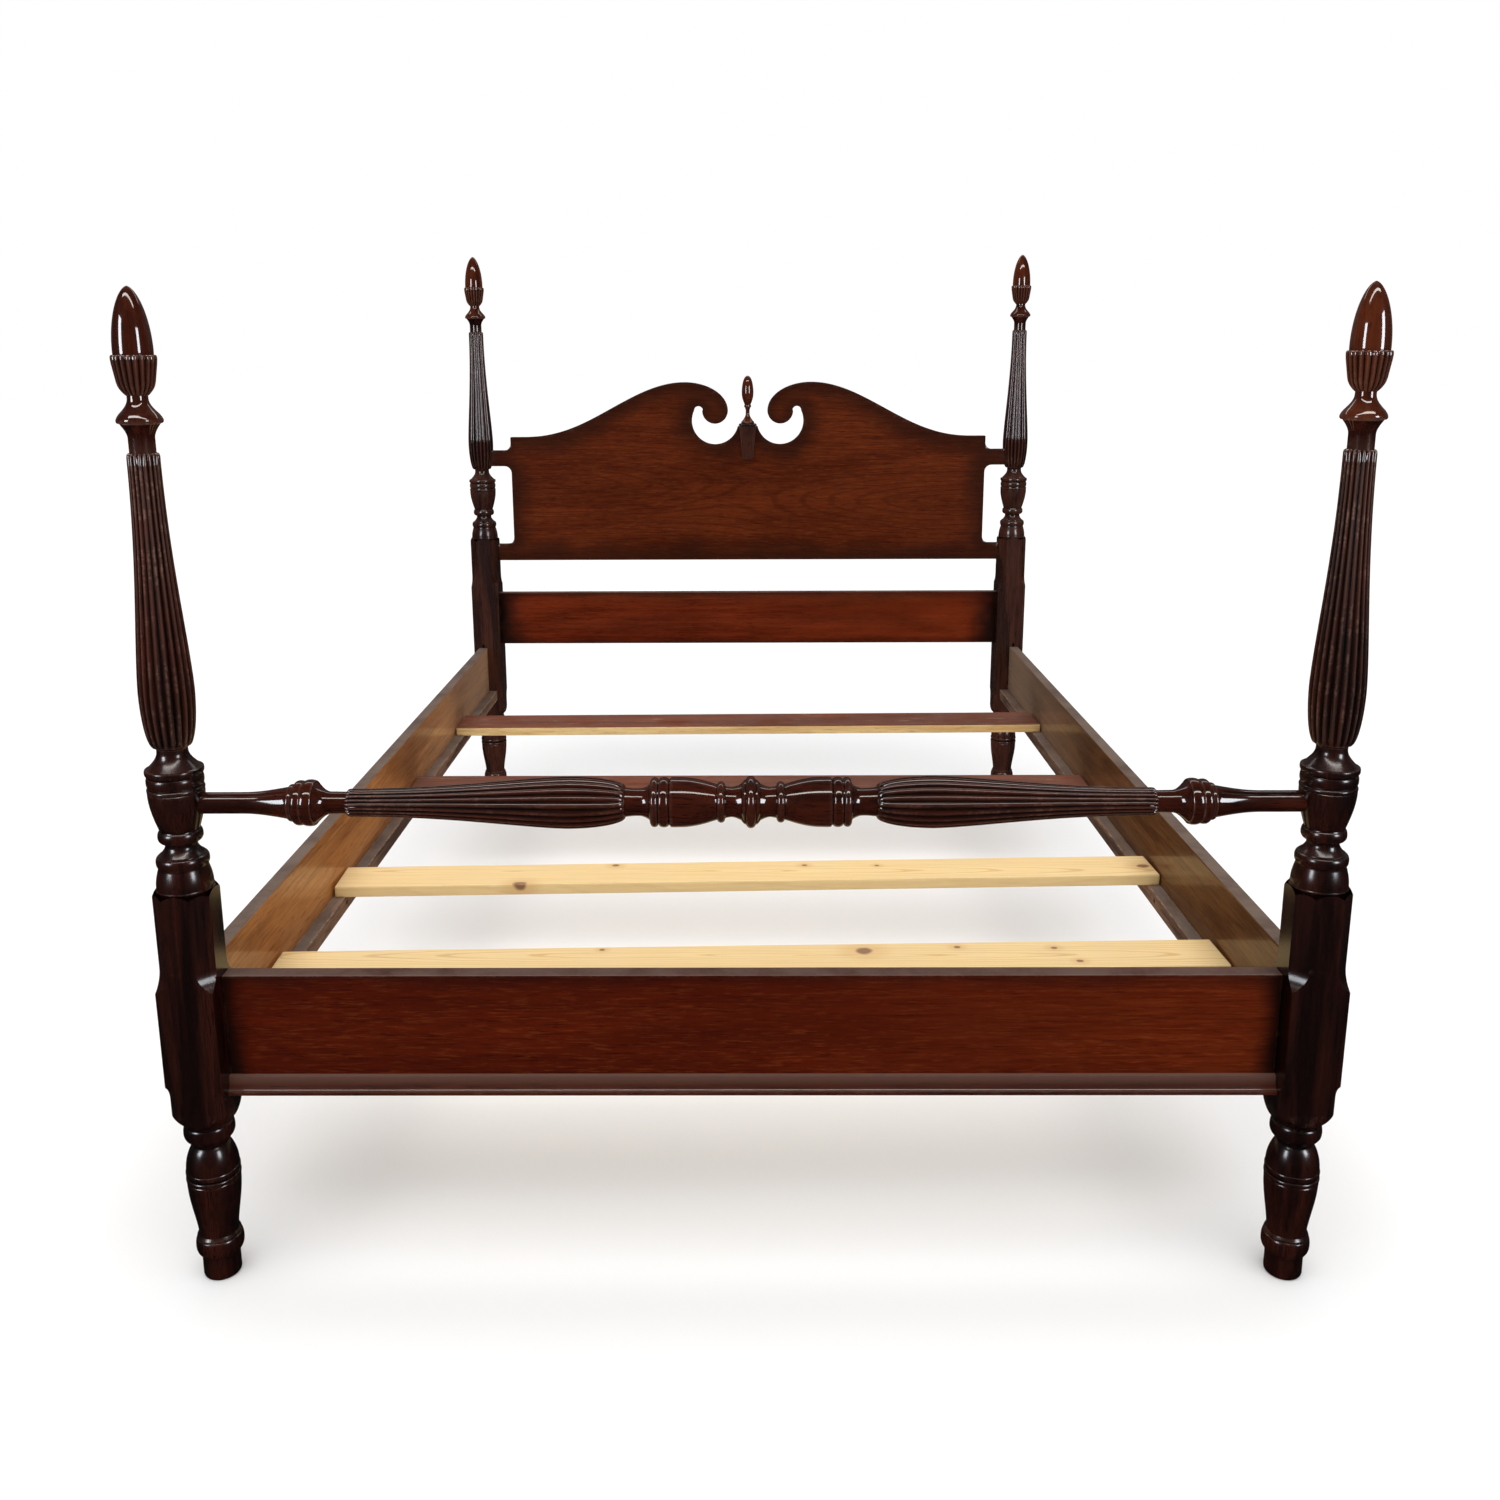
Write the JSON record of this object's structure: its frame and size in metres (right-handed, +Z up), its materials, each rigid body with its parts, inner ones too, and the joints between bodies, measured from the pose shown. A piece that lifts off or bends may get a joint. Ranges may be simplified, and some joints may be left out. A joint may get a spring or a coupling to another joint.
{
  "type": "four-poster bed frame",
  "caption": "Full-size low four-poster bed frame with reeded posts, acorn finials, a scrolled headboard, a turned cross rail, hook-on side rails and loose slats.",
  "frame": {"origin": "on the floor, in the middle of the four posts", "axes": "+Z up, +Y from the footboard to the headboard, +X to the right seen from the foot"},
  "size_m": [1.454, 2.052, 1.409],
  "materials": {
    "dark_wood": "dark red-brown stain under worn satin lacquer",
    "reeded_wood": "dark red-brown stain under gloss lacquer, worn pale on the reed edges",
    "red_board": "deep red mahogany stain, satin lacquer, toned dark at the ends",
    "headboard_veneer": "red-brown figured mahogany veneer, satin lacquer, toned dark at the edges",
    "rail_wood": "golden brown stain, satin",
    "ledger_wood": "thin brown stain, matte and dusty",
    "pine": "bare planed pine with knots",
    "stained_slat": "red-brown stain on the top, bare on the edges",
    "steel": "dull zinc-plated steel"
  },
  "bodies": {
    "frame": {"foot_left_post": "dark_wood", "foot_right_post": "dark_wood", "head_left_post": "dark_wood", "head_right_post": "dark_wood", "foot_left_shaft": "reeded_wood", "foot_right_shaft": "reeded_wood", "head_left_shaft": "reeded_wood", "head_right_shaft": "reeded_wood", "foot_left_finial": "reeded_wood", "foot_right_finial": "reeded_wood", "head_left_finial": "reeded_wood", "head_right_finial": "reeded_wood", "foot_rail": "red_board", "foot_rail_moulding": "dark_wood", "cross_rail": "reeded_wood", "headboard_panel": "headboard_veneer", "headboard_keystone": "dark_wood", "keystone_cap": "dark_wood", "centre_finial": "dark_wood", "head_stretcher": "red_board", "foot_left_hook_pins": "steel", "foot_right_hook_pins": "steel", "head_left_hook_pins": "steel", "head_right_hook_pins": "steel"},
    "left_rail": {"left_side_rail": "rail_wood", "left_ledger": "ledger_wood", "left_rail_moulding": "dark_wood", "left_rail_hooks": "steel", "left_plate_pins": "steel", "left_ledger_screws": "steel"},
    "right_rail": {"right_side_rail": "rail_wood", "right_ledger": "ledger_wood", "right_rail_moulding": "dark_wood", "right_rail_hooks": "steel", "right_plate_pins": "steel", "right_ledger_screws": "steel"},
    "foot_slat": {"slat_foot": "pine"},
    "second_slat": {"slat_second": "pine"},
    "third_slat": {"slat_third": "stained_slat"},
    "head_slat": {"slat_head": "stained_slat"}
  },
  "joints": [
    {"name": "left_rail_lift", "type": "slide", "parent": "frame", "child": "left_rail", "axis": [0, 0, 1], "range_m": [0, 0.015]},
    {"name": "right_rail_lift", "type": "slide", "parent": "frame", "child": "right_rail", "axis": [0, 0, 1], "range_m": [0, 0.015]},
    {"name": "foot_slat_lift", "type": "slide", "parent": "left_rail", "child": "foot_slat", "axis": [0, 0, 1], "range_m": [0, 0.12]},
    {"name": "second_slat_lift", "type": "slide", "parent": "left_rail", "child": "second_slat", "axis": [0, 0, 1], "range_m": [0, 0.12]},
    {"name": "third_slat_lift", "type": "slide", "parent": "left_rail", "child": "third_slat", "axis": [0, 0, 1], "range_m": [0, 0.12]},
    {"name": "head_slat_lift", "type": "slide", "parent": "left_rail", "child": "head_slat", "axis": [0, 0, 1], "range_m": [0, 0.12]}
  ],
  "couplings": [
    {"joint": "right_rail_lift", "follows": "left_rail_lift", "ratio": 1}
  ]
}
